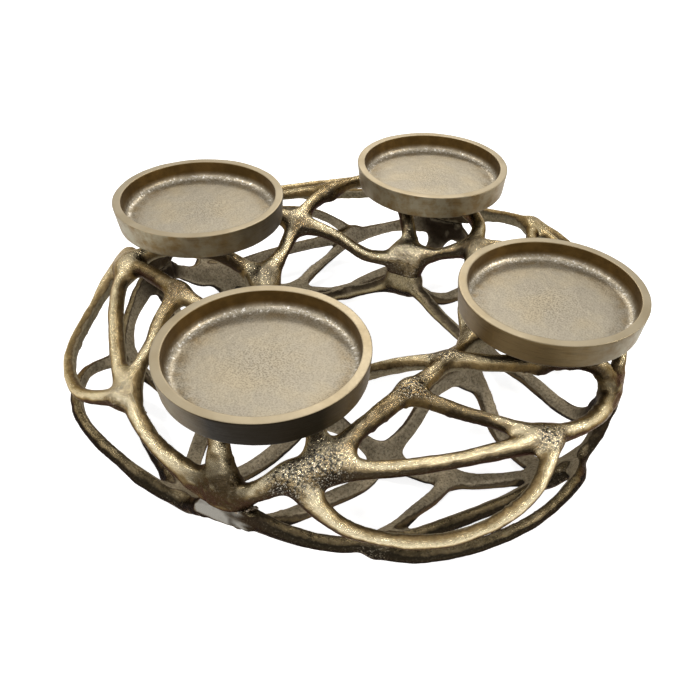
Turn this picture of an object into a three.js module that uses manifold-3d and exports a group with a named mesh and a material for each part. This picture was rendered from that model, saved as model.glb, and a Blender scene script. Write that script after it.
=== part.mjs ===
// Wreath candle holder: a ring of cast lattice quarters that carries four candle dishes.
// Millimetres and degrees, +Z up. The origin is the middle of the ring on the surface it stands on.
import * as THREE from 'three';
import ManifoldModule from 'manifold-3d';
import { mergeVertices } from 'three/addons/utils/BufferGeometryUtils.js';

const wasm = await ManifoldModule();
wasm.setup();

// Ring: the middle lines of the bars lie on a half tyre above the seam and on its copy below
const sides = ['front', 'right', 'back', 'left']; // the dish that each quarter starts under
const quarterTurn = 360 / sides.length;
const frontAngle = -90; // the front dish lies on -Y
const fitGap = 0.3; // clearance between pieces that touch
const ringRadius = 110; // middle circle of the tyre
const tyreReach = 42; // from the middle circle out to the outer bars and in to the inner ones
const tyreRise = 39.5; // from the seam up to the crown bars
const barDepth = 7.6; // greatest thickness of a bar, from inside the tyre to outside
const ringStep = 19; // stretch of a bar between two cross-sections

// Pads under the dishes, on the upper castings only
const padFace = 43.4; // from the seam up to the flat faces
const padThickness = 8;
const padRadius = 13;

// The turned castings stand on flats that are ground across their crowns
const groundFace = 41.7; // from the seam down to the flats
const seamHeight = groundFace;

// Candle dish
const dishRadius = 50;
const dishHeight = 14.5;
const dishDraft = 1.4; // how much smaller the outer wall is at its foot
const dishEdge = 1.2; // rounding of the lower outer edge
const dishFloor = 3.6;
const rimWidth = 4.8;
const rimBreak = 0.4; // bevel of the rim's outer edge
const coveRadius = 3; // inside corner between wall and floor
const bossRadius = 11;
const bossHeight = 3.2;
const dishCircle = 109; // from the middle of the ring to the middle of a dish
const dishBase = seamHeight + padFace + fitGap + bossHeight;

// Screw and washer under each dish
const screwRadius = 2.5;
const padHoleRadius = 2.9;
const bossHoleRadius = 2.8;
const bossHoleDepth = 5;
const screwReach = 4.5; // length of the shank inside the boss
const headRadius = 4.75;
const headHeight = 3.2;
const headEdge = 0.8; // bevel of the head's lower edge
const slotWidth = 1.2;
const slotDepth = 1.4;
const washerRadius = 9;
const washerThickness = 1.5;
const washerMargin = 1.5; // flat room round the washer under the pad
const headRoom = 15; // clear height under the pad for the washer and the screw's head
const washerFace = seamHeight + padFace - padThickness - fitGap; // upper face of the washer
const headFace = washerFace - washerThickness - fitGap; // upper face of the screw's head

const burnishedBrass = 0xa8906a;
const dullBrass = 0x8d7c62;
const turnedBrass = 0xb7a68a;
const zincSteel = 0xa9aaa8;

// Stops of the pattern: turn from the quarter's own dish, angle over the tyre (0 at the outer seam, 90
// at the crown, 180 at the inner seam), lift off the tyre, and width of the casting there
const outerWeld = [0, 4.5, 2.3, 22];
const lowShoulder = [12.4, 34.7, 5, 13];
const highShoulder = [17.7, 42.2, 3, 15];
const fork = [37.1, 97.9, -0.7, 13];
const petalTip = [62.6, 31.5, 2, 12];
const crest = [56.5, 130, 1, 13];
const innerWeld = [0, 165, 0.4, 20];
const nextQuarter = ([turn, ...rest]) => [turn + quarterTurn, ...rest];

// Routes of the bars; those that branch off start or end inside another bar
const routes = [
  [outerWeld, [6.5, 20, 4, 10], lowShoulder, highShoulder, [24.2, 68, -1, 8.5], fork,
    [47, 114, 0, 8.5], crest, [70.8, 150, 1.5, 7.8], nextQuarter(innerWeld)],
  [highShoulder, [27, 41, 0, 8], [42.7, 40, -2, 7.6], petalTip, [73.4, 21, 3.5, 7.8], nextQuarter(outerWeld)],
  [lowShoulder, [23.8, 8.5, 11, 6.4], [37.8, 4.5, 17, 6], [51.5, 11, 15, 6.2], [61.8, 28, 6, 7.5]],
  [fork, [42, 88, -4, 7], [51.6, 66, -7, 6.2], [58.5, 44, -3, 6.6], petalTip],
  [innerWeld, [8, 167, 4, 10], [23.3, 164, 8.5, 7.8], [42, 147, 6, 8], crest, [64, 109, -3, 8.8],
    [73.9, 86, -6, 8.6], [86.4, 43.5, 0, 9.4], nextQuarter(outerWeld)],
  [innerWeld, [2, 144, -5.5, 9], [11.2, 96, -1, 8], [15.5, 62, 1, 8.6], highShoulder],
];
const padArms = [
  [[0, 91, padFace - padThickness / 2 - tyreRise, 14], [11.2, 96, -1, 9]],
  [[quarterTurn, 91, padFace - padThickness / 2 - tyreRise, 14], [76, 79, -5, 9]],
];
const armDepth = 7;

const radians = (degrees) => THREE.MathUtils.degToRad(degrees);

// Point of the pattern in space, and the direction that leaves the tyre there
function place([turn, over, lift]) {
  const spin = radians(turn + frontAngle);
  const lean = radians(over);
  const radius = ringRadius + (tyreReach + lift) * Math.cos(lean);
  const height = seamHeight + (tyreRise + lift) * Math.sin(lean);
  return new THREE.Vector3(radius * Math.cos(spin), radius * Math.sin(spin), height);
}

function outward([turn, over]) {
  const spin = radians(turn + frontAngle);
  const lean = radians(over);
  const away = Math.cos(lean);
  return new THREE.Vector3(away * Math.cos(spin), away * Math.sin(spin), Math.sin(lean));
}

// Section of a bar, as shares of its width and depth: flat inside, rounded at the sides
const sectionShape = [[-0.36, -0.5], [0.36, -0.5], [0.5, 0], [0.28, 0.5], [-0.28, 0.5], [-0.5, 0]];

const smooth = (t) => t * t * (3 - 2 * t);

function closedGeometry(positions, indices) {
  const geometry = new THREE.BufferGeometry();
  geometry.setAttribute('position', new THREE.Float32BufferAttribute(positions, 3));
  geometry.setIndex(indices);
  return geometry;
}

// Skin over a row of rings of equally many points, closed with a flat cap at both ends
function skin(rings) {
  const count = rings[0].length;
  const indices = [];
  for (let r = 0; r < rings.length - 1; r += 1) {
    for (let k = 0; k < count; k += 1) {
      const a = r * count + k;
      const b = r * count + ((k + 1) % count);
      indices.push(a, b, b + count, a, b + count, a + count);
    }
  }
  const last = (rings.length - 1) * count;
  for (let k = 1; k < count - 1; k += 1) {
    indices.push(0, k + 1, k);
    indices.push(last, last + k, last + k + 1);
  }
  return closedGeometry(rings.flat().flatMap((point) => point.toArray()), indices);
}

function barGeometry(stops, greatestDepth = barDepth) {
  const corners = stops.map((stop) => new THREE.Vector3(...stop));
  const route = new THREE.CatmullRomCurve3(corners, false, 'centripetal');
  const pieces = stops.length - 1;
  const rings = [];
  const addRing = (t) => {
    const here = route.getPoint(t).toArray();
    const ahead = place(route.getPoint(Math.min(1, t + 0.005)).toArray());
    const behind = place(route.getPoint(Math.max(0, t - 0.005)).toArray());
    const along = ahead.sub(behind).normalize();
    const out = outward(here);
    out.addScaledVector(along, -out.dot(along)).normalize();
    const across = new THREE.Vector3().crossVectors(along, out);
    const last = Math.min(pieces - 1, Math.floor(t * pieces));
    const width = THREE.MathUtils.lerp(stops[last][3], stops[last + 1][3], smooth(t * pieces - last));
    const depth = Math.min(width, greatestDepth);
    const centre = place(here);
    rings.push(sectionShape.map(([u, v]) => centre.clone()
      .addScaledVector(across, -u * width)
      .addScaledVector(out, v * depth)));
  };
  for (let i = 0; i < pieces; i += 1) {
    const steps = Math.max(1, Math.round(place(stops[i]).distanceTo(place(stops[i + 1])) / ringStep));
    for (let k = 0; k < steps; k += 1) {
      addRing((i + k / steps) / pieces);
    }
  }
  addRing(1);
  return skin(rings);
}

function solid(geometry) {
  const bare = geometry.clone();
  bare.deleteAttribute('normal');
  bare.deleteAttribute('uv');
  const merged = mergeVertices(bare, 1e-4);
  return new wasm.Manifold(new wasm.Mesh({
    numProp: 3,
    vertProperties: Float32Array.from(merged.attributes.position.array),
    triVerts: Uint32Array.from(merged.index.array),
  }));
}

function shape(manifold) {
  const { vertProperties, triVerts } = manifold.getMesh();
  return closedGeometry(Array.from(vertProperties), Array.from(triVerts));
}

function standing(radius, low, high, x, y, segments) {
  const geometry = new THREE.CylinderGeometry(radius, radius, high - low, segments);
  return geometry.rotateX(Math.PI / 2).translate(x, y, (low + high) / 2);
}

function block(low, high) {
  const size = high.map((value, k) => value - low[k]);
  const middle = high.map((value, k) => (value + low[k]) / 2);
  return new THREE.BoxGeometry(...size).translate(...middle);
}

// Middle of a pad or dish, as turned from the front dish
function dishSpot(turn) {
  const spin = radians(turn + frontAngle);
  return [dishCircle * Math.cos(spin), dishCircle * Math.sin(spin)];
}

const joined = (parts) => parts.map(solid).reduce((whole, part) => whole.add(part));

// Cuts a casting flat at the seam, at its ends and at the given height above the seam
function trimmed(casting, topFace) {
  const margin = fitGap / 2;
  const reach = ringRadius * 2;
  const room = block([margin, -reach, seamHeight + margin], [reach, -margin, seamHeight + topFace]);
  return casting.intersect(solid(room));
}

// One cast quarter above the seam, from the front dish round to the right one
const bareQuarter = joined(routes.map((stops) => barGeometry(stops)));

// The same with the pads that carry the dishes, drilled and with flat seats for the washers
function paddedQuarter() {
  const seat = seamHeight + padFace - padThickness;
  const spots = padArms.map(([[turn]]) => dishSpot(turn));
  const pads = spots.map((spot) => standing(padRadius, seat, seat + padThickness, ...spot, 16));
  const arms = padArms.map((stops) => barGeometry(stops, armDepth));
  const holes = spots.map((spot) => standing(padHoleRadius, seat - headRoom, seat + headRoom, ...spot, 12));
  const roomRadius = washerRadius + washerMargin;
  const washerRooms = spots.map((spot) => standing(roomRadius, seat - headRoom, seat, ...spot, 16));
  return bareQuarter.add(joined([...pads, ...arms])).subtract(joined([...holes, ...washerRooms]));
}

function lathe(profile, segments) {
  const points = profile.map(([radius, height]) => new THREE.Vector2(radius, height));
  return new THREE.LatheGeometry(points, segments).rotateX(Math.PI / 2);
}

function dishGeometry() {
  const wall = dishRadius - rimWidth;
  const bend = coveRadius * (1 - Math.SQRT1_2);
  return lathe([
    [0, bossHoleDepth - bossHeight],
    [bossHoleRadius, bossHoleDepth - bossHeight],
    [bossHoleRadius, -bossHeight],
    [bossRadius, -bossHeight],
    [bossRadius, 0],
    [dishRadius - dishDraft - dishEdge, 0],
    [dishRadius - dishDraft, dishEdge],
    [dishRadius, dishHeight - rimBreak],
    [dishRadius - rimBreak, dishHeight],
    [wall, dishHeight],
    [wall, dishFloor + coveRadius],
    [wall - bend, dishFloor + bend],
    [wall - coveRadius, dishFloor],
    [0, dishFloor],
  ], 32);
}

function washerGeometry() {
  return lathe([
    [padHoleRadius, -washerThickness],
    [washerRadius, -washerThickness],
    [washerRadius, 0],
    [padHoleRadius, 0],
    [padHoleRadius, -washerThickness],
  ], 18);
}

function screwGeometry() {
  const tip = dishBase - bossHeight + screwReach - headFace;
  const body = solid(lathe([
    [0, -headHeight],
    [headRadius - headEdge, -headHeight],
    [headRadius, headEdge - headHeight],
    [headRadius, 0],
    [screwRadius, 0],
    [screwRadius, tip - 0.6],
    [screwRadius - 0.6, tip],
    [0, tip],
  ], 12));
  const reach = headRadius + 1;
  const half = slotWidth / 2;
  const slot = block([-reach, -half, -headHeight - 1], [reach, half, slotDepth - headHeight]);
  return shape(body.subtract(solid(slot)));
}

const holder = new THREE.Group();
holder.name = 'wreath_candle_holder';

function addPiece(name, geometry, colour, metalness, roughness) {
  const flat = geometry.index ? geometry.toNonIndexed() : geometry;
  flat.computeVertexNormals();
  const material = new THREE.MeshStandardMaterial({ color: colour, metalness, roughness });
  const mesh = new THREE.Mesh(flat, material);
  mesh.name = name;
  holder.add(mesh);
}

const upperQuarter = shape(trimmed(paddedQuarter(), padFace));
const groundQuarter = shape(trimmed(bareQuarter, groundFace));
sides.forEach((side, index) => {
  const spin = radians(quarterTurn * index);
  const [x, y] = dishSpot(quarterTurn * index);
  addPiece(`upper_lattice_${side}`, upperQuarter.clone().rotateZ(spin), burnishedBrass, 0.9, 0.42);
  const turned = groundQuarter.clone().translate(0, 0, -seamHeight).rotateY(Math.PI);
  turned.translate(0, 0, seamHeight).rotateZ(spin + radians(quarterTurn));
  addPiece(`lower_lattice_${side}`, turned, dullBrass, 0.9, 0.5);
  addPiece(`dish_${side}`, dishGeometry().translate(x, y, dishBase), turnedBrass, 0.9, 0.38);
  addPiece(`dish_washer_${side}`, washerGeometry().translate(x, y, washerFace), zincSteel, 1, 0.35);
  addPiece(`dish_screw_${side}`, screwGeometry().translate(x, y, headFace), zincSteel, 1, 0.3);
});

export default holder;
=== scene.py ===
import bpy
import math
import numpy as np
import openvdb
from mathutils import Matrix, Vector


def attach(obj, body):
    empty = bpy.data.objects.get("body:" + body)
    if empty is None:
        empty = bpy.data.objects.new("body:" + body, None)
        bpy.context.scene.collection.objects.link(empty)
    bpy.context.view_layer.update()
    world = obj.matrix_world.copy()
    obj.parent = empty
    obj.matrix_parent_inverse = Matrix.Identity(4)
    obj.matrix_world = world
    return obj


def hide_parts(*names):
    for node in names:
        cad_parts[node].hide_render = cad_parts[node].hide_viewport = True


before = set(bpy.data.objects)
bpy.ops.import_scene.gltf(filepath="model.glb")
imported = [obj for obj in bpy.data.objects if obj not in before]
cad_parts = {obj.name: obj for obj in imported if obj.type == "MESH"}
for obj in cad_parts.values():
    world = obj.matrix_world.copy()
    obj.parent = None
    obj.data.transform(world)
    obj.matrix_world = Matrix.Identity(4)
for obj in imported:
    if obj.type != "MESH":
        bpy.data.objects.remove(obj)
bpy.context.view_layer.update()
scene = bpy.context.scene
scene.view_settings.view_transform = "Standard"
print("frame loaded")

mm = 0.001
sides = ["front", "right", "back", "left"]


# small helpers

def linear(hexColour):
    parts = [int(hexColour[k:k + 2], 16) / 255 for k in (1, 3, 5)]
    return [c / 12.92 if c <= 0.04045 else ((c + 0.055) / 1.055) ** 2.4 for c in parts] + [1.0]


# adds a node, fills its inputs with values or links, and gives the output that is asked for
def addNode(tree, kind, inputs=None, out=0, stops=None, **settings):
    node = tree.nodes.new(kind)
    for name, value in settings.items():
        setattr(node, name, value)
    for key, value in (inputs or {}).items():
        if isinstance(value, bpy.types.NodeSocket):
            tree.links.new(value, node.inputs[key])
        else:
            node.inputs[key].default_value = value
    if stops:
        ramp = node.color_ramp
        while len(ramp.elements) < len(stops):
            ramp.elements.new(1.0)
        for element, (position, colour) in zip(ramp.elements, stops):
            element.position = position
            element.color = linear(colour) if isinstance(colour, str) else (colour, colour, colour, 1)
    return node.outputs[out] if len(node.outputs) else node


def emptyMaterial(name):
    material = bpy.data.materials.new(name)
    material.use_nodes = True
    material.node_tree.nodes.clear()
    return material, material.node_tree


def meshFrom(name, points, faces, edges=()):
    mesh = bpy.data.meshes.new(name)
    mesh.from_pydata(np.asarray(points).tolist(), list(edges), np.asarray(faces).tolist())
    mesh.update()
    mesh.polygons.foreach_set("use_smooth", [True] * len(mesh.polygons))
    piece = bpy.data.objects.new(name, mesh)
    scene.collection.objects.link(piece)
    return piece


def pointValues(piece, name, values):
    attribute = piece.data.attributes.new(name, "FLOAT", "POINT")
    attribute.data.foreach_set("value", np.asarray(values, np.float32))


# seeded random values on a grid of the given size in mm, blended smoothly between its corners
def softNoise(points, size, seed):
    place = points / size
    cell = np.floor(place).astype(int)
    blend = place - cell
    blend = blend * blend * (3 - 2 * blend)
    cell -= cell.min(0)
    table = np.random.default_rng(seed).uniform(-1, 1, cell.max(0) + 2)
    total = np.zeros(len(points))
    for corner in np.ndindex(2, 2, 2):
        weight = np.prod(np.where(corner, blend, 1 - blend), axis=1)
        total += weight * table[tuple((cell + corner).T)]
    return total


def smoothStep(values, low, high):
    t = np.clip((values - low) / (high - low), 0, 1)
    return t * t * (3 - 2 * t)


# camera and studio

cameraView = {
    "position": (0.1450, -0.3187, 0.3046),
    "azimuth": 20.59,
    "elevation": 43.10,
    "roll": 3.44,
    "lens": 36.01,
    "sensor": 36,
    "farthest": 50,
    "shift": (-0.066, 0.0755),
}


def makeCamera(view):
    azimuth, elevation, roll = (math.radians(view[key]) for key in ("azimuth", "elevation", "roll"))
    level = math.cos(elevation)
    back = Vector((math.sin(azimuth) * level, -math.cos(azimuth) * level, math.sin(elevation)))
    right = Vector((math.cos(azimuth), math.sin(azimuth), 0))
    up = back.cross(right)
    turnedRight = right * math.cos(roll) + up * math.sin(roll)
    turnedUp = up * math.cos(roll) - right * math.sin(roll)
    data = bpy.data.cameras.new("photoCamera")
    data.sensor_width = view["sensor"]
    data.lens = view["lens"]
    data.shift_x, data.shift_y = view["shift"]
    data.clip_end = view["farthest"]
    camera = bpy.data.objects.new("photoCamera", data)
    axes = Matrix((turnedRight, turnedUp, back)).transposed()
    camera.matrix_world = Matrix.Translation(view["position"]) @ axes.to_4x4()
    scene.collection.objects.link(camera)
    scene.camera = camera


studio = {
    "floorSize": 6.0,
    "floorDrop": 0.0002,
    "floorColour": "#f4f3f1",
    "floorGlow": 0.84,  # what the floor shows of itself beyond the light that falls on it
    "worldColour": "#e9edf2",
    "worldStrength": 0.34,
    "lookAt": (0, 0, 0.06),
    "lamps": {
        "key": {"place": (-0.28, 0.70, 0.88), "size": 0.20, "power": 3.2, "colour": "#fff9f0"},
        "side": {"place": (0.85, 0.25, 0.75), "size": 0.14, "power": 3.9, "colour": "#fffaf2"},
        "left": {"place": (-0.75, -0.25, 0.85), "size": 0.14, "power": 2.2, "colour": "#fffaf4"},
        "front": {"place": (0.05, -0.80, 0.85), "size": 0.12, "power": 2.1, "colour": "#f7f8ff"},
    },
}


# 1 for the rays that show the background itself, 0 for those that only light the object with it
def shownRays(tree):
    rays = addNode(tree, "ShaderNodeLightPath").node.outputs
    shown = addNode(tree, "ShaderNodeMath", {0: rays["Is Camera Ray"], 1: rays["Is Glossy Ray"]},
                    operation="MAXIMUM")
    return addNode(tree, "ShaderNodeMath", {0: shown, 1: rays["Is Transmission Ray"]}, operation="MAXIMUM")


def makeStudio(look):
    world = bpy.data.worlds.new("studioWorld")
    world.use_nodes = True
    tree = world.node_tree
    tree.nodes.clear()
    soft = addNode(tree, "ShaderNodeBackground",
                   {"Color": linear(look["worldColour"]), "Strength": look["worldStrength"]})
    white = addNode(tree, "ShaderNodeBackground", {"Color": (1, 1, 1, 1), "Strength": 1.0})
    mix = addNode(tree, "ShaderNodeMixShader", {0: shownRays(tree), 1: soft, 2: white})
    addNode(tree, "ShaderNodeOutputWorld", {"Surface": mix})
    scene.world = world

    half, low = look["floorSize"] / 2, -look["floorDrop"]
    corners = [(-half, -half, low), (half, -half, low), (half, half, low), (-half, half, low)]
    floor = meshFrom("studioFloor", corners, [(0, 1, 2, 3)])
    paper, tree = emptyMaterial("paperFloor")
    matt = addNode(tree, "ShaderNodeBsdfDiffuse", {"Color": linear(look["floorColour"])})
    glow = addNode(tree, "ShaderNodeEmission", {"Color": (1, 1, 1, 1), "Strength": look["floorGlow"]})
    both = addNode(tree, "ShaderNodeAddShader", {0: matt, 1: glow})
    mix = addNode(tree, "ShaderNodeMixShader", {0: shownRays(tree), 1: matt, 2: both})
    addNode(tree, "ShaderNodeOutputMaterial", {"Surface": mix})
    floor.data.materials.append(paper)

    for name, entry in look["lamps"].items():
        data = bpy.data.lights.new(name + "Lamp", "AREA")
        data.shape = "DISK"
        data.size = entry["size"]
        data.energy = entry["power"]
        data.color = linear(entry["colour"])[:3]
        lamp = bpy.data.objects.new(name + "Lamp", data)
        lamp.location = entry["place"]
        aim = Vector(look["lookAt"]) - Vector(entry["place"])
        lamp.rotation_euler = aim.to_track_quat("-Z", "Y").to_euler()
        scene.collection.objects.link(lamp)


makeCamera(cameraView)
makeStudio(studio)
print("camera and studio ready")


# finishes

# the point attributes and noises that a finish reads, by name
def finishInputs(tree, attributes, noises):
    at = {key: addNode(tree, "ShaderNodeAttribute", out="Fac", attribute_name=key) for key in attributes}
    at["place"] = addNode(tree, "ShaderNodeTexCoord", out="Object")
    for key, (size, detail, rough) in noises.items():
        at[key] = addNode(tree, "ShaderNodeTexNoise", {"Vector": at["place"], "Scale": 1 / (size * mm),
                                                       "Detail": detail, "Roughness": rough})
    return at


# adds masks that run from 0 to 1 between two values of an input, and lays each tint over the colour where
# all its masks meet; gives the colour and where each tint lies
def paintLayers(tree, at, look, colour, masks, layers):
    for key, (source, low, high) in masks.items():
        span = {"Value": at[source], "From Min": low, "From Max": high}
        at[key] = addNode(tree, "ShaderNodeMapRange", span)
    covers = {}
    for keys, amount, tint in layers:
        cover = amount
        for key in keys:
            cover = addNode(tree, "ShaderNodeMath", {0: at[key], 1: cover}, operation="MULTIPLY")
        covers[tint] = cover
        colour = addNode(tree, "ShaderNodeMixRGB",
                         {"Fac": cover, "Color1": colour, "Color2": linear(look[tint])})
    return colour, covers


# ends a finish with its metal and its relief, whose heights count in steps of so many mm
def endFinish(tree, height, strength, step, surface, normals=("Normal",)):
    bump = addNode(tree, "ShaderNodeBump", {"Height": height, "Strength": strength, "Distance": step * mm})
    surface.update({key: bump for key in normals})
    metal = addNode(tree, "ShaderNodeBsdfPrincipled", surface)
    addNode(tree, "ShaderNodeOutputMaterial", {"Surface": metal})


# sand-cast aluminium under an antique brass lacquer: rubbed bright along the crests, which also carry a
# painted highlight, dark at the sides, partly patina and partly painted shade, dull and grainy on the faces
# that look into the ring, pitted where the bars widen into webs
upperLook = {
    "inner": "#7a705a", "shade": "#43351f", "side": "#7f6c4a", "body": "#ac9c78", "crest": "#dacba7",
    "web": "#9c927d", "pit": "#120e08", "fleck": "#f4eddb", "hollow": "#2b2317", "edge": "#dccfac",
    "paintedUnderShade": "#21170b", "joint": "#332816", "shadedFlank": "#705a34", "ground": "#8e857c", "sandy": "#a2967a",
    "darkFrom": 0.34,  # how far a face looks down where the darkest painted shade begins
    "roughness": (0.60, 0.42, 0.20), "relief": 0.9, "lacquer": 0.08, "rimTint": "#b8a68c",
}
# the turned castings lie lower and were rubbed less: duller brown crests, and undersides painted near black
# as painted shade
lowerLook = {
    "inner": "#8a7e68", "shade": "#3b3226", "side": "#5a4f3e", "body": "#82755b", "crest": "#a1926f",
    "web": "#918772", "pit": "#1b160f", "fleck": "#cfc4ac", "hollow": "#231c14", "edge": "#b4a582",
    "paintedUnderShade": "#14100a", "joint": "#2a2117", "shadedFlank": "#524630", "ground": "#84817a", "sandy": "#b0a48c",
    "darkFrom": 0.14,
    "roughness": (0.62, 0.48, 0.28), "relief": 0.9, "lacquer": 0.03, "rimTint": "#a08f76",
}
castSurface = {
    # size in mm, detail and roughness of each noise; sand grain is drawn a little coarse so that it shows
    "noises": {"cloud": (11, 2, 0.5), "dents": (4.0, 2, 0.5), "sand": (0.85, 3, 0.65),
               "pits": (1.3, 3, 0.7), "grain": (1.8, 3, 0.65)},
    "rubAndLightNoises": {"cloud": 0.24, "dents": 0.26, "sand": 0.32},  # what each adds to the rubbing and painted light of the crests
    "shadeEdgeNoises": {"dents": 0.3, "cloud": 0.4},  # how the edge of the painted shade on the flank wanders with them
    "heights": {"dents": 0.30, "sand": 0.32, "grain": 0.40, "pit": -0.14},  # in mm
    "groundLevel": -0.8,  # share of the heights that is ground off on the patch
}


def castFinish(name, look):
    material, tree = emptyMaterial(name)
    at = finishInputs(tree, ("crest", "wear", "web", "pitting", "low", "joint", "ground"),
                      castSurface["noises"])

    # rubbing and painted light follow the crest, unevenly: 0 faces into the ring, 0.5 is a bar's side, 1 its
    # crest;
    # the crest colour is partly painted highlight, the darker side colours partly painted shade
    rubAndLight = addNode(tree, "ShaderNodeMath", {0: at["crest"], 1: 0.5, 2: 0.09}, operation="MULTIPLY_ADD")
    for key, amount in castSurface["rubAndLightNoises"].items():
        rubAndLight = addNode(tree, "ShaderNodeMath", {0: at[key], 1: amount, 2: rubAndLight}, operation="MULTIPLY_ADD")
    for key, amount in castSurface["shadeEdgeNoises"].items():
        at["low"] = addNode(tree, "ShaderNodeMath", {0: at[key], 1: amount, 2: at["low"]},
                            operation="MULTIPLY_ADD")
    # the faces that look down are painted darker from darkFrom on, as painted shade
    dark = look["darkFrom"]
    masks = {
        "outside": ("crest", 0.25, 0.8), "side": ("crest", -0.5, -0.1), "inside": ("crest", -0.2, -0.6),
        "crevice": ("wear", -0.02, -0.30), "edge": ("wear", 0.30, 0.75), "broken": ("wear", 0.50, 0.10),
        "shadedFlank": ("low", dark - 0.22, dark), "down": ("low", dark, dark + 0.2),
        "clouded": ("cloud", 0.3, 0.7), "scuffed": ("cloud", 0.2, 0.42), "dented": ("dents", 0.35, 0.65),
        "pitted": ("pits", 0.47, 0.54), "gritty": ("pits", 0.47, 0.38), "flecked": ("sand", 0.56, 0.66),
        "sanded": ("grain", 0.36, 0.58), "webby": ("pitting", -0.12, 1.0),
    }

    colour = addNode(tree, "ShaderNodeValToRGB", {"Fac": rubAndLight}, stops=[
        (0.0, look["inner"]), (0.30, look["inner"]), (0.45, look["shade"]), (0.66, look["side"]),
        (0.81, look["body"]), (0.94, look["crest"])])
    colour, covers = paintLayers(tree, at, look, colour, masks, [
        (("inside", "sanded"), 0.8, "sandy"), (("inside", "gritty"), 0.35, "hollow"),
        (("gritty",), 0.3, "side"), (("web", "outside", "clouded"), 0.9, "web"),
        # painted shade: the flank and underside tints darken the faces that look down
        (("crevice",), 0.75, "hollow"), (("shadedFlank", "side"), 0.8, "shadedFlank"),
        (("edge", "dented", "outside"), 1.0, "edge"), (("down", "side"), 0.92, "paintedUnderShade"),
        (("joint", "broken"), 1.0, "joint"), (("pitted", "webby", "outside"), 0.95, "pit"),
        # the near-white flecks on the webs are painted glints
        (("flecked", "webby", "outside"), 0.6, "fleck"), (("ground", "scuffed"), 1.0, "ground"),
    ])
    at["pit"] = covers["pit"]

    dull, plain, rubbed = look["roughness"]
    gloss = addNode(tree, "ShaderNodeValToRGB", {"Fac": rubAndLight},
                    stops=[(0.3, dull), (0.5, plain), (0.85, rubbed)])
    gloss = addNode(tree, "ShaderNodeMath", {0: at["sand"], 1: 0.2, 2: gloss}, operation="MULTIPLY_ADD")
    gloss = addNode(tree, "ShaderNodeMath", {0: gloss, 1: 0.1}, operation="SUBTRACT")
    metallic = addNode(tree, "ShaderNodeMapRange",
                       {"Value": rubAndLight, "From Min": 0.3, "From Max": 0.7, "To Min": 0.8, "To Max": 0.97})

    height = 0.0
    for key, amount in castSurface["heights"].items():
        height = addNode(tree, "ShaderNodeMath", {0: at[key], 1: amount, 2: height},
                         operation="MULTIPLY_ADD")
    flat = addNode(tree, "ShaderNodeMath", {0: at["ground"], 1: castSurface["groundLevel"], 2: 1.0},
                   operation="MULTIPLY_ADD")
    height = addNode(tree, "ShaderNodeMath", {0: height, 1: flat}, operation="MULTIPLY")
    endFinish(tree, height, look["relief"], 1, {
        "Base Color": colour, "Roughness": gloss, "Metallic": metallic, "Coat Weight": look["lacquer"],
        "Coat Roughness": 0.16, "Specular Tint": linear(look["rimTint"])}, ("Normal", "Coat Normal"))
    return material


# the dishes are sand castings turned on the outside and the rim, under a champagne coloured brass lacquer;
# the region runs from the underside (0) over the outer wall (1), rim (2), inner wall (3) and cove (4) to the
# floor (5)
dishLook = {
    # the underside's dark colour is painted shade
    "regions": ["#3a3022", "#776444", "#9f937b", "#6e5731", "#a69c89", "#a39b8a"],
    "roughness": (0.6, 0.40, 0.42, 0.40, 0.32, 0.50),
    "yellow": "#b0a183", "grey": "#9b9385", "speck": "#6b6250", "dark": "#130e06", "worn": "#8b7c5f",
    "silver": "#928b76", "hollow": "#3f3019", "stain": "#8c7853", "bright": "#efeadf", "middle": "#857b68",
}
dishSurface = {
    "noises": {"cloud": (19, 2, 0.5), "sand": (0.95, 2, 0.6), "pits": (1.5, 3, 0.65),
               "blotch": (7, 3, 0.6)},  # as for the castings
    "toolMarks": (80, 80, 1600),  # per metre: long round the wall, short up it
    "grainHeights": {"sand": 0.13, "pits": 0.14}, "markHeight": 0.05,  # in mm
}


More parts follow.
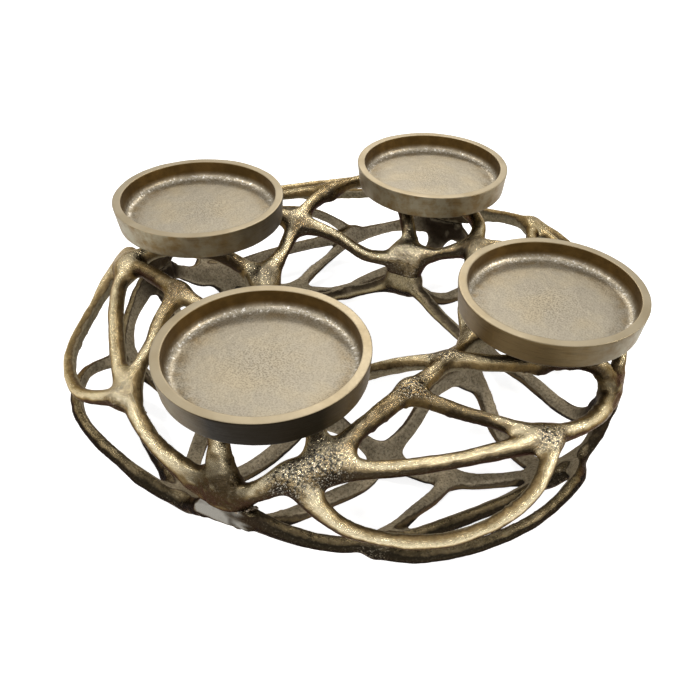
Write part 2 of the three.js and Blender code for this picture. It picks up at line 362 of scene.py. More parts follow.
def dishFinish(name, look):
    material, tree = emptyMaterial(name)
    at = finishInputs(tree, ("region", "reach", "shade", "silver"), dishSurface["noises"])
    stretched = addNode(tree, "ShaderNodeMapping", {"Vector": at["place"], "Scale": dishSurface["toolMarks"]})
    at["turning"] = addNode(tree, "ShaderNodeTexNoise", {"Vector": stretched, "Scale": 1.0, "Detail": 3})
    pastRim = addNode(tree, "ShaderNodeMath", {0: at["region"], 1: 2.0}, operation="SUBTRACT")
    at["fromRim"] = addNode(tree, "ShaderNodeMath", {0: pastRim}, operation="ABSOLUTE")
    masks = {
        "above": ("region", 0.4, 0.9), "wall": ("region", 1.75, 1.4), "rimmed": ("fromRim", 0.6, 0.2),
        "inward": ("region", 2.5, 3.0), "upright": ("region", 4.3, 3.5), "coved": ("region", 3.3, 4.0),
        "offFloor": ("region", 4.95, 4.5), "floor": ("region", 4.5, 5.0),
        "centre": ("reach", 0.50, 0.08), "border": ("reach", 0.66, 0.84),
        "cloudy": ("cloud", 0.45, 0.68), "clear": ("cloud", 0.5, 0.3), "specked": ("sand", 0.48, 0.60),
        "flecked": ("pits", 0.55, 0.68), "blotched": ("blotch", 0.42, 0.62),
        "mottled": ("blotch", 0.35, 0.6), "streaked": ("turning", 0.52, 0.64),
    }

    spread = addNode(tree, "ShaderNodeMath", {0: at["region"], 1: 0.2}, operation="MULTIPLY")
    colour = addNode(tree, "ShaderNodeValToRGB", {"Fac": spread},
                     stops=[(k / 5, value) for k, value in enumerate(look["regions"])])
    colour, _ = paintLayers(tree, at, look, colour, masks, [
        (("floor", "cloudy"), 0.35, "yellow"), (("floor", "clear"), 0.4, "grey"),
        (("floor", "border", "blotched"), 0.8, "stain"), (("floor", "centre", "specked"), 0.75, "middle"),
        (("floor", "specked"), 0.28, "speck"), (("floor", "border", "specked"), 0.5, "speck"),
        # the near-white flecks in the cove are painted glints
        (("coved", "offFloor", "specked"), 0.55, "speck"), (("coved", "offFloor", "flecked"), 1.0, "bright"),
        (("wall", "above", "streaked"), 0.22, "dark"), (("inward", "upright", "mottled"), 0.4, "hollow"),
        # the shade tint on the outer wall is a painted dark reflection
        (("silver", "wall", "above", "mottled"), 0.9, "silver"), (("shade", "wall"), 0.97, "dark"),
        (("rimmed", "cloudy"), 0.5, "worn"),
    ])
    gloss = addNode(tree, "ShaderNodeValToRGB", {"Fac": spread},
                    stops=[(k / 5, value) for k, value in enumerate(look["roughness"])])
    gloss = addNode(tree, "ShaderNodeMath", {0: at["pits"], 1: 0.16, 2: gloss}, operation="MULTIPLY_ADD")

    # the sand grain is on the floor and in the cove only
    height = 0.0
    for key, amount in dishSurface["grainHeights"].items():
        height = addNode(tree, "ShaderNodeMath", {0: at[key], 1: amount, 2: height},
                         operation="MULTIPLY_ADD")
    height = addNode(tree, "ShaderNodeMath", {0: height, 1: at["coved"]}, operation="MULTIPLY")
    height = addNode(tree, "ShaderNodeMath", {0: at["turning"], 1: dishSurface["markHeight"], 2: height},
                     operation="MULTIPLY_ADD")
    endFinish(tree, height, 1.0, 1, {"Base Color": colour, "Roughness": gloss, "Metallic": 1.0})
    return material


# zinc-plated steel: pale grey with a faint cloud of blue and yellow and fine handling marks
def zincFinish(name):
    material, tree = emptyMaterial(name)
    at = finishInputs(tree, (), {"cloud": (6, 2, 0.5), "marks": (0.8, 3, 0.5)})
    colour = addNode(tree, "ShaderNodeValToRGB", {"Fac": at["cloud"]},
                     stops=[(0.35, "#9fa4a9"), (0.5, "#a9aaa8"), (0.65, "#b3ad9c")])
    gloss = addNode(tree, "ShaderNodeMapRange", {"Value": at["marks"], "To Min": 0.24, "To Max": 0.5})
    endFinish(tree, at["marks"], 0.5, 0.05, {"Base Color": colour, "Roughness": gloss, "Metallic": 1.0})
    return material


# oxidised weld metal: dark, with a few bare bright tips
def weldFinish(name):
    material, tree = emptyMaterial(name)
    at = finishInputs(tree, (), {"tips": (1.3, 3, 0.5)})
    colour = addNode(tree, "ShaderNodeValToRGB", {"Fac": at["tips"]},
                     stops=[(0.35, "#2f251c"), (0.5, "#6b5c49"), (0.65, "#c0b3a2")])
    endFinish(tree, at["tips"], 0.8, 0.3, {"Base Color": colour, "Roughness": 0.42, "Metallic": 0.85})
    return material


# lattice

# one quarter of the casting, from the front dish to the right one; each stop of a route gives the turn from
# the front dish and the angle over the tyre in degrees, and the lift off the tyre and the width in mm
outerWeld = (0, 4.5, 1.0, 17)
lowShoulder = (12.4, 34.7, 5, 12)
highShoulder = (17.7, 42.2, 3, 14)
fork = (37.1, 97.9, -0.7, 9.5)
petalTip = (62.6, 31.5, 2, 10)
crest = (56.5, 130, 1, 11)
innerWeld = (0, 165, 0.4, 18)


def nextQuarter(stop):
    return (stop[0] + 90,) + tuple(stop[1:])


lattice = {
    "middle": 110.0, "reach": 42.0, "rise": 39.5, "seam": 41.7, "padFace": 43.4, "groundFace": 41.7,
    "seamGap": 0.1, "innerOverlap": 2.5, "seamBreak": 0.6, "depth": 7.6, "blend": 6.0, "step": 1.5,
    "padRadius": 13.0, "padThickness": 8.0, "padFillet": 3.0, "padCircle": 109.0, "padHole": 2.9,
    "armDepth": 7.0, "washerRoom": 10.5, "headRoom": 15.0,
    "voxel": 1.26, "gridReach": 172.0, "cellsBelow": 3, "roomAbove": 3.0,
    "far": 8.0, "overlap": 20.0,  # how far from a bar and into the next quarter distances are worked out
    "lumps": ((9.0, 0.28), (4.2, 0.15)),  # size and height of the unevenness
    "weldSize": 3.4, "weldHeight": 0.75,  # and of the weld metal beside the outer joints
    "burrSize": 2.4, "burrHeight": 1.1, "burrStart": 0.15, "burrPatch": 22.0,
    # ranges over which the lumps, the burrs, the pitting and the painted light and shade round the outside
    # set in or end
    "flatFade": (0.3, 1.5), "burrFrom": (-0.95, -0.6), "burrTo": (-0.3, -0.05),
    "pittedFrom": (-20, 10), "pittedTo": (-30, 0), "outerBand": (124, 142),
    "joints": ((outerWeld, 34),),
    "webs": ((lowShoulder, 17), (highShoulder, 17), (fork, 16), (petalTip, 15), (crest, 16),
             (innerWeld, 20)),
    "routes": [
        [outerWeld, (6.5, 20, 4, 9.5), lowShoulder, highShoulder, (24.2, 68, -1, 8.5), fork,
         (47, 114, 0, 8.3), crest, (70.8, 150, 1.5, 7.6), nextQuarter(innerWeld)],
        [highShoulder, (27, 41, 0, 8), (42.7, 40, -2, 7.6), petalTip, (73.4, 21, 3.5, 7.8),
         nextQuarter(outerWeld)],
        [lowShoulder, (23.8, 8.5, 11, 6.4), (37.8, 4.5, 17, 6), (51.5, 11, 15, 6.2), (61.8, 28, 6, 7.5)],
        [fork, (42, 88, -4, 7), (51.6, 66, -7, 6.2), (58.5, 44, -3, 6.6), petalTip],
        [innerWeld, (8, 167, 4, 9.5), (23.3, 164, 8.5, 7.6), (42, 147, 6, 7.8), crest, (64, 109, -3, 8.6),
         (73.9, 86, -6, 8.4), (86.4, 43.5, 0, 9.2), nextQuarter(outerWeld)],
        [innerWeld, (2, 144, -5.5, 8.6), (11.2, 96, -1, 7.8), (15.5, 62, 1, 8.4), highShoulder],
    ],
    "welds": [[(-5.5, 173, 0.5, 17), (5.5, 173, 0.5, 17)]],
    "arms": [
        [(0, 91, -0.1, 13), (11.2, 96, -1, 8.5)],
        [(90, 91, -0.1, 13), (76, 79, -5, 8.5)],
    ],
}


def onTyre(stops):
    turn, over, lift = np.radians(stops[:, 0] - 90), np.radians(stops[:, 1]), stops[:, 2]
    radius = lattice["middle"] + (lattice["reach"] + lift) * np.cos(over)
    height = lattice["seam"] + (lattice["rise"] + lift) * np.sin(over)
    return np.column_stack([radius * np.cos(turn), radius * np.sin(turn), height])


def offTyre(stops):
    turn, over = np.radians(stops[:, 0] - 90), np.radians(stops[:, 1])
    return np.column_stack([np.cos(over) * np.cos(turn), np.cos(over) * np.sin(turn), np.sin(over)])


# centripetal curve through the stops
def alongRoute(stops, t):
    points = np.array(stops, float)[:, :3]
    last = len(points) - 1
    place = np.clip(t, 0, 1) * last
    index = np.minimum(place.astype(int), last - 1)
    w = (place - index)[:, None]
    padded = np.vstack([2 * points[0] - points[1], points, 2 * points[-1] - points[-2]])
    p0, p1, p2, p3 = (padded[index + k] for k in range(4))
    spans = ((p0, p1), (p1, p2), (p2, p3))
    d0, d1, d2 = (np.sqrt(np.linalg.norm(b - a, axis=1, keepdims=True)) for a, b in spans)
    t1 = ((p1 - p0) / d0 - (p2 - p0) / (d0 + d1) + (p2 - p1) / d1) * d1
    t2 = ((p2 - p1) / d1 - (p3 - p1) / (d1 + d2) + (p3 - p2) / d2) * d1
    return p1 + t1 * w + (-3 * p1 + 3 * p2 - 2 * t1 - t2) * w ** 2 + (2 * p1 - 2 * p2 + t1 + t2) * w ** 3


def barSamples(stops, greatestDepth):
    pieces = len(stops) - 1
    corners = onTyre(np.array(stops, float)[:, :3])
    times = []
    for k in range(pieces):
        steps = max(2, int(round(np.linalg.norm(corners[k + 1] - corners[k]) / lattice["step"])))
        times += [(k + i / steps) / pieces for i in range(steps)]
    t = np.array(times + [1.0])
    here = alongRoute(stops, t)
    centre = onTyre(here)
    ahead, behind = alongRoute(stops, np.minimum(1, t + 0.004)), alongRoute(stops, np.maximum(0, t - 0.004))
    along = onTyre(ahead) - onTyre(behind)
    along /= np.linalg.norm(along, axis=1, keepdims=True)
    out = offTyre(here)
    out -= along * (out * along).sum(1, keepdims=True)
    out /= np.linalg.norm(out, axis=1, keepdims=True)
    across = np.cross(along, out)
    index = np.minimum((t * pieces).astype(int), pieces - 1)
    w = t * pieces - index
    w = w * w * (3 - 2 * w)
    widths = np.array(stops, float)[:, 3]
    width = widths[index] * (1 - w) + widths[index + 1] * w
    return centre, along, out, across, width / 2, np.minimum(width, greatestDepth) / 2


def quarterGrid():
    h = lattice["voxel"]
    count = int(math.ceil(lattice["gridReach"] / h))
    high = int(math.ceil((lattice["padFace"] + lattice["roomAbove"]) / h))
    x = (np.arange(count) + 0.5) * h
    z = lattice["seam"] + (np.arange(-lattice["cellsBelow"], high) + 0.5) * h
    return x, -x, z


# distance to one bar, out to far: its section is round outside the tyre and squarer inside it
def barField(samples, axes, far):
    x, y, z = axes
    field = np.full((len(x), len(y), len(z)), far, np.float32)
    half = 0.8 * lattice["step"]  # each sample reaches a little over the next
    for centre, along, out, across, a, b in zip(*samples):
        r = max(a, b) + far
        ix = np.searchsorted(x, [centre[0] - r, centre[0] + r])
        iy = np.searchsorted(-y, [-centre[1] - r, -centre[1] + r])
        iz = np.searchsorted(z, [centre[2] - r, centre[2] + r])
        if ix[0] == ix[1] or iy[0] == iy[1] or iz[0] == iz[1]:
            continue
        dx = (x[ix[0]:ix[1]] - centre[0])[:, None, None]
        dy = (y[iy[0]:iy[1]] - centre[1])[None, :, None]
        dz = (z[iz[0]:iz[1]] - centre[2])[None, None, :]
        u, v, w = (dx * way[0] + dy * way[1] + dz * way[2] for way in (across, out, along))
        w = np.maximum(np.abs(w) - half, 0)
        uu, vv, ww = (u / a) ** 2, (v / b) ** 2, (w / min(a, b)) ** 2
        outer = np.sqrt(uu + vv)
        inner = (uu ** 2 + vv ** 2) ** 0.25
        side = np.clip(v / b + 0.35, 0, 1)  # 1 on the bar's outer half, 0 on its inner one
        k = np.sqrt((outer * side + inner * (1 - side)) ** 2 + ww)
        slope = np.sqrt(uu / a ** 2 + vv / b ** 2 + ww / min(a, b) ** 2) + 1e-6
        distance = (k * (k - 1) / slope).astype(np.float32)
        block = field[ix[0]:ix[1], iy[0]:iy[1], iz[0]:iz[1]]
        np.minimum(block, distance, out=block)
    return field


def softUnion(a, b, size):
    mix = np.maximum(size - np.abs(a - b), 0) / size
    return np.minimum(a, b) - mix * mix * size / 4


def softCut(a, b, size):
    return -softUnion(-a, -b, size)


def quarterField(routes, depth, axes):
    far, overlap = lattice["far"], lattice["overlap"]
    whole = None
    for stops in routes:
        samples = barSamples(stops, depth)
        bar = None
        for quarters in (-1, 0, 1):
            c, s = round(math.cos(quarters * math.pi / 2)), round(math.sin(quarters * math.pi / 2))
            turn = np.array([[c, s, 0], [-s, c, 0], [0, 0, 1]], float)
            turned = [part @ turn if part.ndim == 2 else part for part in samples]
            near = (turned[0][:, 0] > -overlap) & (turned[0][:, 1] < overlap)
            if not near.any():
                continue
            field = barField([part[near] for part in turned], axes, far)
            bar = field if bar is None else softUnion(bar, field, lattice["blend"])
        whole = bar if whole is None else softUnion(whole, bar, lattice["blend"])
    return whole


# adds the drilled pads under the dishes and their arms
def padded(field, axes):
    field = softUnion(field, quarterField(lattice["arms"], lattice["armDepth"], axes), lattice["blend"])
    gx, gy, gz = np.meshgrid(*axes, indexing="ij", sparse=True)
    half, room = lattice["padThickness"] / 2, lattice["headRoom"] / 2
    seat = lattice["seam"] + lattice["padFace"] - lattice["padThickness"]
    for px, py in ((0, -lattice["padCircle"]), (lattice["padCircle"], 0)):
        away = np.hypot(gx - px, gy - py)
        pad = np.maximum(away - lattice["padRadius"], np.abs(gz - seat - half) - half)
        field = softUnion(field, pad.astype(np.float32), lattice["padFillet"])
        clear = np.maximum(away - lattice["washerRoom"], np.abs(gz - seat + room) - room)
        field = np.maximum(np.maximum(field, -clear), lattice["padHole"] - away)
    return field


# four turned copies of the quarter's grid, the x and y axes both running upwards
def ringFrom(quarter):
    count, _, high = quarter.shape
    ring = np.empty((2 * count, 2 * count, high), np.float32)
    turned = quarter.transpose(1, 0, 2)
    ring[count:, :count] = quarter[:, ::-1]
    ring[count:, count:] = turned
    ring[:count, count:] = quarter[::-1]
    ring[:count, :count] = turned[::-1, ::-1]
    return ring


def surfaceOf(field, axes):
    h, edge, outside = lattice["voxel"], 3, 6.0
    ring = np.pad(ringFrom(field), edge, constant_values=outside)
    grid = openvdb.FloatGrid(outside)
    grid.copyFromArray(ring)
    points, quads = grid.convertToQuads(0.0)
    points = points.astype(float) * h
    points[:, :2] -= (ring.shape[0] - 1) / 2 * h
    points[:, 2] += axes[2][0] - edge * h
    return points, quads


def signedVolume(points, quads):
    a, b, c, d = (points[quads[:, k]] for k in range(4))
    return (np.einsum("ij,ij->i", a, np.cross(b, c)) + np.einsum("ij,ij->i", a, np.cross(c, d))).sum() / 6


def pointNormals(points, quads):
    a, b, c, d = (points[quads[:, k]] for k in range(4))
    face = np.cross(c - a, d - b)
    total = np.zeros_like(points)
    for k in range(3):
        for corner in range(4):
            total[:, k] += np.bincount(quads[:, corner], face[:, k], len(points))
    return total / np.maximum(np.linalg.norm(total, axis=1, keepdims=True), 1e-9)


def neighbourMean(values, quads, count):
    ends = np.concatenate([quads, np.roll(quads, 1, axis=1)]).ravel()
    others = np.concatenate([np.roll(quads, -1, axis=1), quads]).ravel()
    share = np.maximum(np.bincount(ends, minlength=count), 1)
    columns = values.reshape(count, -1)
    mean = np.column_stack([np.bincount(ends, column[others], count) / share for column in columns.T])
    return mean.reshape(values.shape)


# direction that leaves the tyre at each point
def awayFromTyre(points):
    around = np.hypot(points[:, 0], points[:, 1])
    over = np.arctan2((points[:, 2] - lattice["seam"]) / lattice["rise"],
                      (around - lattice["middle"]) / lattice["reach"])
    flat = np.cos(over) / around
    return np.column_stack([points[:, 0] * flat, points[:, 1] * flat, np.sin(over)])


# 1 beside the stops of all four quarters, 0 beyond the reach that is given with each
def nearStops(points, turnedOver, stops):
    share = np.zeros(len(points))
    for stop, reach in stops:
        centre = onTyre(np.array([stop[:3]], float))[0]
        if turnedOver:
            centre = np.array([-centre[0], centre[1], 2 * lattice["seam"] - centre[2]])
        for _ in sides:
            away = np.linalg.norm(points - centre, axis=1)
            share = np.maximum(share, 1 - smoothStep(away, reach * 0.35, reach))
            centre = np.array([-centre[1], centre[0], centre[2]])
    return share


# flat ground across the outside of the front joint, on the turned casting
facet = {
    "point": (0.0, -156.6, 41.7), "normal": (0.0, -0.96, 0.28),
    "left": (-17.5, -14.5), "right": (15.0, 19.0), "foot": (31.0, 33.0),  # where its edges begin and end
    "cutDepth": 5, "facing": 0.25,  # how far off the plane and how far turned from it a point may be
    "streak": (0.35, 1, 1.6), "streakSize": 2.2, "patchSize": 5.0, "patchShare": 0.7,
    "bare": 3.5, "fade": 0.11,  # the bare metal fades out towards the right and the top
}


# moves the points of the ground patch onto its plane, and gives how bare each point is
def groundFacet(points, normals):
    n = np.array(facet["normal"]) / np.linalg.norm(facet["normal"])
    off = (points - facet["point"]) @ n
    x, z = points[:, 0], points[:, 2]
    inside = smoothStep(x, *facet["left"]) * (1 - smoothStep(x, *facet["right"]))
    inside *= smoothStep(z, *facet["foot"])
    inside *= (normals @ n > facet["facing"]) * (np.abs(off) < facet["cutDepth"])
    points -= n * (off * inside)[:, None]
    streaks = softNoise(points * facet["streak"], facet["streakSize"], 61)
    streaks += facet["patchShare"] * softNoise(points, facet["patchSize"], 62)
    bare = streaks + facet["bare"] - facet["fade"] * (x + 0.5 * z)
    return smoothStep(inside, 0.4, 0.9) * smoothStep(bare, -0.6, 1.0)


def finishLattice(name, points, quads, turnedOver, finish):
    if signedVolume(points, quads) < 0:
        quads = quads[:, ::-1]
    count = len(points)
    seed = 20 if turnedOver else 10
    normals = pointNormals(points, quads)
    facing = (normals * awayFromTyre(points)).sum(1)
    # the cut faces stay flat
    free = np.ones(count)
    for height in (lattice["seam"], 0.0 if turnedOver else lattice["seam"] + lattice["padFace"]):
        free *= smoothStep(np.abs(points[:, 2] - height), *lattice["flatFade"])
    rise = sum(softNoise(points, size, seed + k) * height
               for k, (size, height) in enumerate(lattice["lumps"]))
    besideJoint = nearStops(points, turnedOver, lattice["joints"])
    rise += besideJoint * softNoise(points, lattice["weldSize"], seed + 8) * lattice["weldHeight"]
    # burrs stand in patches along the inner edges of the bars
    ragged = np.maximum(softNoise(points, lattice["burrSize"], seed + 4) - lattice["burrStart"], 0)
    ragged *= lattice["burrHeight"]
    ragged *= smoothStep(softNoise(points, lattice["burrPatch"], seed + 5), 0.0, 0.35)
    ragged *= smoothStep(facing, *lattice["burrFrom"]) * (1 - smoothStep(facing, *lattice["burrTo"]))
    points = points + normals * ((rise + ragged) * free)[:, None]
    ground = groundFacet(points, normals) if turnedOver else np.zeros(count)

    # wear shows where the skin bulges out
    normals = pointNormals(points, quads)
    wear = ((points - neighbourMean(points, quads, count)) * normals).sum(1) * 4 / lattice["voxel"] ** 2
    for _ in range(2):
        wear = neighbourMean(wear, quads, count)
    away = awayFromTyre(points)
    crestAndLightShare = (normals * away).sum(1)
    # the webs between the front and the right dish are the most pitted
    webs = nearStops(points, turnedOver, lattice["webs"])
    rough = 0.7 * smoothStep(points[:, 0], *lattice["pittedFrom"])
    rough = 0.3 + rough * (1 - smoothStep(points[:, 1], *lattice["pittedTo"]))
    # how much a face looks down, counted from the crest of the bar that it is on; it places the painted shade
    # on the flanks and undersides
    level = np.where(away[:, 2] > 0, 1.0, 0.3) * away[:, 2]
    low = crestAndLightShare * level - normals[:, 2]
    # the turned casting is painted lighter on the flanks that face up, as painted light from above, and
    # darkest round the outside, as painted shade
    if turnedOver:
        around = np.hypot(points[:, 0], points[:, 1])
        outward = (normals[:, :2] * points[:, :2]).sum(1) / around
        outer = smoothStep(around, *lattice["outerBand"]) * smoothStep(outward, -0.6, -0.1)
        low += 0.95 * outer - 0.25
        crestAndLightShare += outer * np.maximum(1.1 * normals[:, 2] - 0.3 - crestAndLightShare, 0)

    piece = meshFrom(name, points * mm, quads)
    besideJoint = nearStops(points, turnedOver, lattice["joints"])
    values = {"wear": wear, "web": webs, "pitting": webs * rough, "joint": besideJoint, "low": low,
              "crest": crestAndLightShare, "ground": ground}
    for key, shares in values.items():
        pointValues(piece, key, shares)
    piece.data.materials.append(finish)
    print(name, "triangles", 2 * len(quads), "wear", np.percentile(wear, [1, 10, 50, 90, 99]).round(2))
    return piece


def makeLattices():
    axes = quarterGrid()
    z = axes[2][None, None, :]
    bars = quarterField(lattice["routes"] + lattice["welds"], lattice["depth"], axes)
    # a thin gap shows at the outer joints, and the weld fills it at the inner ones
    around = np.hypot(axes[0][:, None, None], axes[1][None, :, None])
    gap = np.where(around > lattice["middle"], lattice["seamGap"], -lattice["innerOverlap"])
    aboveSeam = np.broadcast_to(lattice["seam"] + gap - z, bars.shape)
    for name, look, turnedOver in (("upper", upperLook, False), ("lower", lowerLook, True)):
        field = bars if turnedOver else padded(bars, axes)
        face = lattice["groundFace" if turnedOver else "padFace"]
        field = np.maximum(softCut(field, aboveSeam, lattice["seamBreak"]), z - lattice["seam"] - face)
        points, quads = surfaceOf(field, axes)
        if turnedOver:
            points = points * (-1, 1, -1) + (0, 0, 2 * lattice["seam"])
        finish = castFinish("dullBrassCasting" if turnedOver else "burnishedBrassCasting", look)
        piece = finishLattice(f"{name}_castings", points, quads, turnedOver, finish)
        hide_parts(*[f"{name}_lattice_{side}" for side in sides])
        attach(piece, "root")


makeLattices()
print("castings ready")


# turned parts

# adds named inputs and an output to a new tree, and gives the inputs' sockets
def startTree(name, sockets):
    tree = bpy.data.node_groups.new(name, "GeometryNodeTree")
    for label, kind in sockets.items():
        tree.interface.new_socket(label, in_out="INPUT", socket_type="NodeSocket" + kind)
    tree.interface.new_socket("Geometry", in_out="OUTPUT", socket_type="NodeSocketGeometry")
    return tree, addNode(tree, "NodeGroupInput").node.outputs


def endTree(tree, geometry, finish):
    plain = addNode(tree, "GeometryNodeRealizeInstances", {"Geometry": geometry})
    dressed = addNode(tree, "GeometryNodeSetMaterial", {"Geometry": plain, "Material": finish})
    addNode(tree, "NodeGroupOutput", {0: dressed})
    return tree


# moves a skin along its normals by the sum of its noises: the inputs, height and local share of each
def roughened(tree, skin, noises, **settings):
    place, total = addNode(tree, "GeometryNodeInputPosition"), 0.0
    for inputs, height, share in noises:
        noise = addNode(tree, "ShaderNodeTexNoise", {"Vector": place, **inputs}, **settings)
        amount = addNode(tree, "ShaderNodeMath", {0: noise, 1: 0.5}, operation="SUBTRACT")
        for factor in (height, share):
            amount = addNode(tree, "ShaderNodeMath", {0: amount, 1: factor}, operation="MULTIPLY")
        total = addNode(tree, "ShaderNodeMath", {0: total, 1: amount}, operation="ADD")
    offset = addNode(tree, "ShaderNodeVectorMath",
                     {0: addNode(tree, "GeometryNodeInputNormal"), "Scale": total}, operation="SCALE")
    return addNode(tree, "GeometryNodeSetPosition", {"Geometry": skin, "Offset": offset})


# turns a profile round the axis and gives the turned skin its waves and its sand grain
def turningTree():
    tree, given = startTree("turnedOnLathe", {
        "Profile": "Geometry", "Segments": "Int", "Core": "Float", "Wave Scale": "Float",
        "Wave Height": "Float", "Grain Scale": "Float", "Grain Height": "Float", "Seed": "Float",
        "Place": "Vector", "Finish": "Material"})
    profile = addNode(tree, "GeometryNodeMeshToCurve", {"Mesh": given["Profile"]})
    circle = addNode(tree, "GeometryNodeCurvePrimitiveCircle",
                     {"Resolution": given["Segments"], "Radius": given["Core"]})
    skin = addNode(tree, "GeometryNodeCurveToMesh", {"Curve": circle, "Profile Curve": profile})
    whole = addNode(tree, "GeometryNodeMergeByDistance", {"Geometry": skin, "Distance": 2e-5})
    rough = addNode(tree, "GeometryNodeInputNamedAttribute", {"Name": "rough"}, data_type="FLOAT")
    moved = roughened(tree, whole, [
        ({"W": given["Seed"], "Scale": given["Wave Scale"]}, given["Wave Height"], 1.0),
        ({"W": given["Seed"], "Scale": given["Grain Scale"]}, given["Grain Height"], rough),
    ], noise_dimensions="4D")
    # the swept skin faces the axis, so its faces are turned to point outwards
    outwards = addNode(tree, "GeometryNodeFlipFaces", {"Mesh": moved})
    placed = addNode(tree, "GeometryNodeTransform", {"Geometry": outwards, "Translation": given["Place"]})
    smooth = addNode(tree, "GeometryNodeSetShadeSmooth", {"Geometry": placed})
    return endTree(tree, smooth, given["Finish"])


# cuts a straight slot
def slotTree():
    tree, given = startTree("slottedHead", {
        "Part": "Geometry", "Slot Size": "Vector", "Slot Place": "Vector", "Finish": "Material"})
    bar = addNode(tree, "GeometryNodeMeshCube", {"Size": given["Slot Size"]})
    bar = addNode(tree, "GeometryNodeTransform", {"Geometry": bar, "Translation": given["Slot Place"]})
    cut = addNode(tree, "GeometryNodeMeshBoolean", {"Mesh 1": given["Part"], "Mesh 2": bar},
                  operation="DIFFERENCE")
    return endTree(tree, cut, given["Finish"])


# runs a tree on an object and gives the result as a plain mesh of its own
def madeBy(tree, base, name, settings):
    maker = base.modifiers.new("maker", "NODES")
    maker.node_group = tree
    for item in tree.interface.items_tree:
        if item.in_out == "INPUT" and item.name in settings:
            maker[item.identifier] = settings[item.name]
    shaped = base.evaluated_get(bpy.context.evaluated_depsgraph_get())
    mesh = bpy.data.meshes.new_from_object(shaped)
    base.modifiers.remove(maker)
    bpy.data.objects.remove(base)
    piece = bpy.data.objects.new(name, mesh)
    scene.collection.objects.link(piece)
    return piece


# outline of a turned part in mm, from the axis and back to it: corners as (radius, height, rounding), with
# the region and roughness of the run that leaves each corner
def profileMesh(name, corners, longest, core):
    spots = np.array([corner[:2] for corner in corners], float)
    points, labels = [], []
    for k, corner in enumerate(corners):
        rounding, region, rough = corner[2:]
        before = corners[max(k - 1, 0)]
        if rounding:
            into = spots[k] - spots[k - 1]
            away = spots[k + 1] - spots[k]
            into, away = into / np.linalg.norm(into), away / np.linalg.norm(away)
            bend = math.acos(np.clip(into @ away, -1, 1))
            start = spots[k] - into * rounding * math.tan(bend / 2)
            end = spots[k] + away * rounding * math.tan(bend / 2)
            steps = max(3, int(round(bend * rounding / longest)) + 2)
            for i in range(steps + 1):
                t = i / steps
                points.append((1 - t) ** 2 * start + 2 * t * (1 - t) * spots[k] + t * t * end)
                labels.append((before[3] * (1 - t) + region * t, before[4] * (1 - t) + rough * t))
        else:
            points.append(spots[k])
            labels.append(((before[3] + region) / 2, (before[4] + rough) / 2))
    fine, values = [points[0]], [labels[0]]
    for a, b, u, v in zip(points, points[1:], labels, labels[1:]):
        steps = max(1, int(math.ceil(np.linalg.norm(b - a) / longest)))
        for i in range(1, steps + 1):
            fine.append(a + (b - a) * i / steps)
            values.append(np.array(u) + (np.array(v) - u) * i / steps)
    fine, values = np.array(fine), np.array(values)
    flat = np.column_stack([fine[:, 0] * mm - core, -fine[:, 1] * mm, np.zeros(len(fine))])
    base = meshFrom(name, flat, [], [(k, k + 1) for k in range(len(flat) - 1)])
    pointValues(base, "region", values[:, 0])
    pointValues(base, "rough", values[:, 1])
    return base


candleDish = {
    "circle": 109.0, "base": 88.6, "radius": 50.0, "height": 14.5, "draft": 1.4, "rim": 4.8, "floor": 3.6,
    "cove": 5.0, "bossRadius": 11.0, "bossHeight": 3.2, "holeRadius": 2.8, "holeDepth": 5.0,
    "segments": 176, "step": 0.85, "core": 1e-5,
    "waveScale": 55.0, "waveHeight": 0.7 * mm, "grainScale": 420.0, "grainHeight": 0.5 * mm,
    "darkReflectionRadii": (40, 47),  # radii between which the painted dark reflection of the outer wall sets in
    # where each outer wall carries a painted dark reflection and where it is paler and silvery: the middle
    # and spread in degrees, and the strength
    "darkSide": {"front": (-58, 44, 1.0), "right": (-60, 30, 0.4), "back": (-70, 20, 0.1),
                 "left": (-5, 32, 0.7)},
    "silverSide": {"front": (-150, 44, 1.0), "right": (-15, 34, 1.0), "back": (-75, 90, 0.8),
                   "left": (-110, 80, 1.0)},
}


# middle of the dish that is so many quarter turns from the front one
def dishPlace(quarters):
    spin = math.radians(90 * quarters - 90)
    return candleDish["circle"] * math.cos(spin), candleDish["circle"] * math.sin(spin)


def dishCorners(dish):
    wall, boss, hole = dish["radius"] - dish["rim"], dish["bossHeight"], dish["holeRadius"]
    holeEnd = dish["holeDepth"] - boss
    return [
        (0, holeEnd, 0, 0, 0), (hole, holeEnd, 0, 0, 0), (hole, -boss, 0, 0, 0),
        (dish["bossRadius"], -boss, 0.4, 0, 0.5), (dish["bossRadius"], 0, 0, 0, 0.5),
        (dish["radius"] - dish["draft"], 0, 1.4, 1, 0.3), (dish["radius"], dish["height"], 0.5, 2, 0.22),
        (wall, dish["height"], 0.45, 3, 0.2), (wall, dish["floor"], dish["cove"], 5, 1.0),
        (0, dish["floor"], 0, 5, 0.8),
    ]


# 1 in the middle of one side of a dish, falling off over the spread to both sides
def sideShare(around, middle, spread):
    turned = np.abs((around - middle + 180) % 360 - 180)
    return np.exp(-(turned / spread) ** 2)


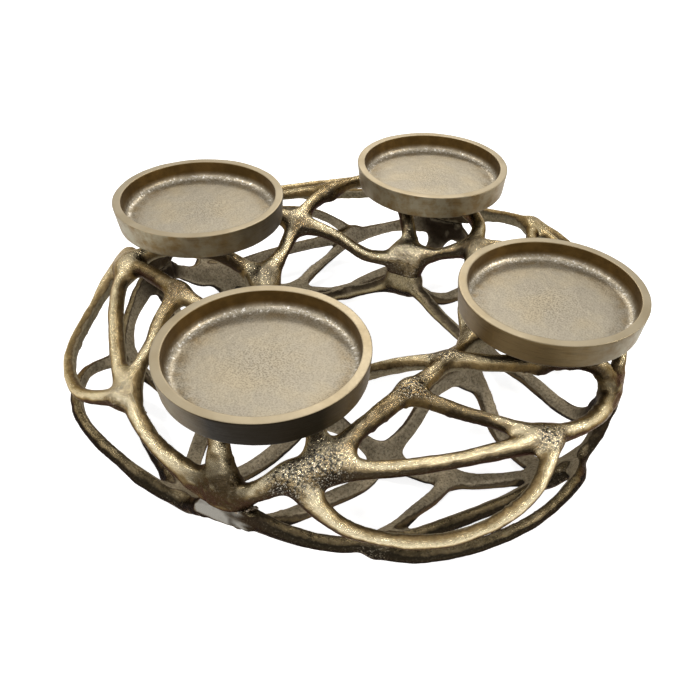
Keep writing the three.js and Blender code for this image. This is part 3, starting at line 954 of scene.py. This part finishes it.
def makeDishes(dish):
    tree = turningTree()
    finish = dishFinish("champagneBrassDish", dishLook)
    for k, side in enumerate(sides):
        x, y = dishPlace(k)
        base = profileMesh("dishProfile", dishCorners(dish), dish["step"], dish["core"])
        piece = madeBy(tree, base, f"candle_dish_{side}", {
            "Segments": dish["segments"], "Core": dish["core"], "Seed": float(k), "Finish": finish,
            "Wave Scale": dish["waveScale"], "Wave Height": dish["waveHeight"],
            "Grain Scale": dish["grainScale"], "Grain Height": dish["grainHeight"],
            "Place": (x * mm, y * mm, dish["base"] * mm)})
        points = np.empty(len(piece.data.vertices) * 3)
        piece.data.vertices.foreach_get("co", points)
        points = points.reshape(-1, 3) / mm - (x, y, dish["base"])
        away = np.hypot(points[:, 0], points[:, 1])
        around = np.degrees(np.arctan2(points[:, 1], points[:, 0]))
        pointValues(piece, "reach", away / dish["radius"])
        # a painted dark reflection on one side of each outer wall
        middle, spread, strength = dish["darkSide"][side]
        dark = np.minimum(1.5 * sideShare(around, middle, spread), 1)
        pointValues(piece, "shade", strength * dark * smoothStep(away, *dish["darkReflectionRadii"]))
        middle, spread, strength = dish["silverSide"][side]
        pointValues(piece, "silver", strength * sideShare(around, middle, spread))
        triangles = sum(len(face.vertices) - 2 for face in piece.data.polygons)
        print(piece.name, "triangles", triangles, points.min(0).round(1), points.max(0).round(1))
        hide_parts(f"dish_{side}")
        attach(piece, "root")
    return tree


turning = makeDishes(candleDish)
print("dishes ready")


# the screws and washers that hold the dishes from below
fixings = {
    "washerFace": 76.8, "washerRadius": 9.0, "washerThickness": 1.5, "holeRadius": 2.9,
    "headFace": 75.0, "headRadius": 4.75, "headHeight": 3.2, "shankRadius": 2.5, "shankTip": 14.9,
    "slotWidth": 1.2, "slotDepth": 1.4, "segments": 56, "step": 0.5, "core": 1e-5,
}


def makeFixings(size):
    slotted = slotTree()
    finish = zincFinish("zincPlatedSteel")
    thickness, head, tip = size["washerThickness"], size["headHeight"], size["shankTip"]
    washer = [
        (size["holeRadius"], 0, 0, 0, 0), (size["holeRadius"], -thickness, 0.2, 0, 0),
        (size["washerRadius"], -thickness, 0.25, 0, 0), (size["washerRadius"], 0, 0.25, 0, 0),
        (size["holeRadius"], 0, 0, 0, 0),
    ]
    screw = [
        (0, -head, 0, 0, 0), (size["headRadius"], -head, 1.0, 0, 0), (size["headRadius"], 0, 0.2, 0, 0),
        (size["shankRadius"], 0, 0, 0, 0), (size["shankRadius"], tip, 0.5, 0, 0), (0, tip, 0, 0, 0),
    ]
    kinds = (("washer", washer, size["washerFace"]), ("screw", screw, size["headFace"]))
    for k, side in enumerate(sides):
        x, y = (value * mm for value in dishPlace(k))
        for kind, corners, face in kinds:
            base = profileMesh("fixingProfile", corners, size["step"], size["core"])
            piece = madeBy(turning, base, f"{kind}_{side}", {
                "Segments": size["segments"], "Core": size["core"], "Place": (x, y, face * mm),
                "Finish": finish})
            if kind == "screw":
                reach = 2 * size["headRadius"] + 2
                low = (face - head + size["slotDepth"] / 2 - 1) * mm
                piece = madeBy(slotted, piece, f"screw_{side}", {
                    "Slot Size": (reach * mm, size["slotWidth"] * mm, (size["slotDepth"] + 2) * mm),
                    "Slot Place": (x, y, low), "Finish": finish})
            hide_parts(f"dish_{kind}_{side}")
            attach(piece, "root")


makeFixings(fixings)
print("fixings ready")


# rough weld metal at the right end of the ground joint under the front dish
weldBead = {
    "path": [(4.0, -156.0, 41.4), (8.5, -155.6, 41.6), (12.0, -153.8, 41.9), (15.5, -149.6, 41.8)],
    "spacing": 0.45, "lump": 0.85 * mm, "uneven": 0.5, "ragged": 0.9 * mm, "raggedScale": 700.0, "seed": 4,
}


# sets uneven lumps along a line of points, close enough to overlap, and roughens them
def beadTree():
    tree, given = startTree("weldLumps", {
        "Line": "Geometry", "Lump": "Float", "Uneven": "Float", "Ragged": "Float",
        "Ragged Scale": "Float", "Seed": "Int", "Finish": "Material"})
    ball = addNode(tree, "GeometryNodeMeshIcoSphere", {"Radius": given["Lump"], "Subdivisions": 3})
    least = addNode(tree, "ShaderNodeMath", {0: 1.0, 1: given["Uneven"]}, operation="SUBTRACT")
    most = addNode(tree, "ShaderNodeMath", {0: 1.0, 1: given["Uneven"]}, operation="ADD")
    sizes = addNode(tree, "FunctionNodeRandomValue", {2: least, 3: most, "Seed": given["Seed"]}, out=1,
                    data_type="FLOAT")
    lumps = addNode(tree, "GeometryNodeInstanceOnPoints",
                    {"Points": given["Line"], "Instance": ball, "Scale": sizes})
    plain = addNode(tree, "GeometryNodeRealizeInstances", {"Geometry": lumps})
    moved = roughened(tree, plain, [({"Scale": given["Ragged Scale"]}, given["Ragged"], 1.0)])
    smooth = addNode(tree, "GeometryNodeSetShadeSmooth", {"Geometry": moved})
    return endTree(tree, smooth, given["Finish"])


def makeWeldBead(bead):
    corners = np.array(bead["path"])
    spots = []
    for a, b in zip(corners, corners[1:]):
        steps = int(np.linalg.norm(b - a) / bead["spacing"])
        spots += [a + (b - a) * i / steps for i in range(steps)]
    jitter = np.random.default_rng(bead["seed"]).uniform(-0.5, 0.5, (len(spots), 3))
    base = meshFrom("beadLine", (np.array(spots) + jitter) * mm, [])
    piece = madeBy(beadTree(), base, "weld_bead_front", {
        "Lump": bead["lump"], "Uneven": bead["uneven"], "Ragged": bead["ragged"],
        "Ragged Scale": bead["raggedScale"], "Seed": bead["seed"], "Finish": weldFinish("oxidisedWeld")})
    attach(piece, "root")


makeWeldBead(weldBead)
print("weld ready")
